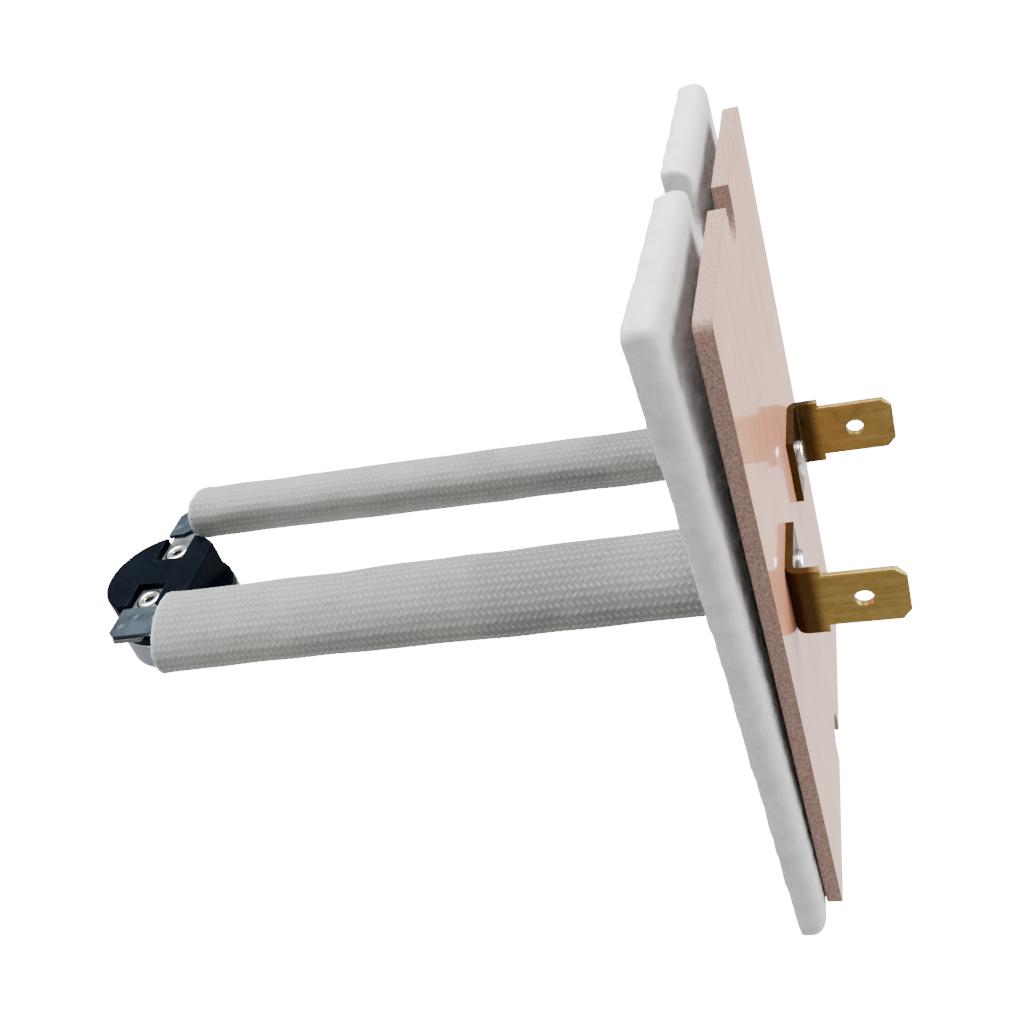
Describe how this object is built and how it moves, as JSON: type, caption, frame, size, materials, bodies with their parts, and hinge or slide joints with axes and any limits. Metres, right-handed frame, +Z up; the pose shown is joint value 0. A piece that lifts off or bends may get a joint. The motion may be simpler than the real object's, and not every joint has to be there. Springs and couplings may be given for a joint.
{
  "type": "high limit thermostat",
  "caption": "Duct high-limit thermostat: a small snap-disc thermostat on flat legs in braided sleeves, with a mounting plate, soft gasket and quick-connect tabs",
  "frame": {"origin": "centre of the mounting plate's back face, the face that the gasket and the duct wall are behind", "axes": "+X out of the plate's front, towards the tabs; the legs reach along -X into the duct; +Z up along the plate's long side, the side that the thermostat's terminals face; +Y to the far side"},
  "size_m": [0.0961, 0.0534, 0.0747],
  "materials": {
    "plate": "satin fibre laminate",
    "gasket": "soft white fibre",
    "tabs": "dull rolled brass",
    "rivets": "bright nickel",
    "legs": "plated steel",
    "sleeves": "woven glass braid",
    "body": "satin phenolic",
    "cap": "satin drawn metal",
    "terminals": "plated steel",
    "disc": "bimetal",
    "pin": "unglazed ceramic",
    "contacts": "silver"
  },
  "bodies": {
    "housing": {"mounting_plate": "plate", "gasket": "gasket", "far_tab_terminal": "tabs", "near_tab_terminal": "tabs", "far_plate_rivet": "rivets", "near_plate_rivet": "rivets", "far_leg_strip": "legs", "near_leg_strip": "legs", "far_sleeve": "sleeves", "near_sleeve": "sleeves", "thermostat_body": "body", "thermostat_cap": "cap", "far_side_terminal": "terminals", "near_side_terminal": "terminals", "far_eyelet": "rivets", "near_eyelet": "rivets", "pin_guide": "body", "bimetal_disc": "disc", "blade_carrier": "terminals", "fixed_contact_strip": "terminals", "fixed_contact": "contacts"},
    "transfer_pin": {"transfer_pin": "pin"},
    "contact_blade": {"contact_blade": "contacts", "moving_contact": "contacts"}
  },
  "joints": [
    {"name": "transfer_pin_slide", "type": "slide", "parent": "housing", "child": "transfer_pin", "axis": [0, 0, 1], "range_m": [0, 0.00035], "deforming": ["bimetal_disc"]},
    {"name": "contact_blade_flex", "type": "hinge", "parent": "housing", "child": "contact_blade", "pos_m": [-0.0755, -0.0026, -0.00151], "axis": [1, 0, 0], "range_deg": [0, 8.1], "stiffness_Nm_per_rad": 0.01, "springref_deg": -11.46}
  ],
  "couplings": [
    {"joint": "contact_blade_flex", "follows": "transfer_pin_slide", "rad_per_m": 403}
  ]
}
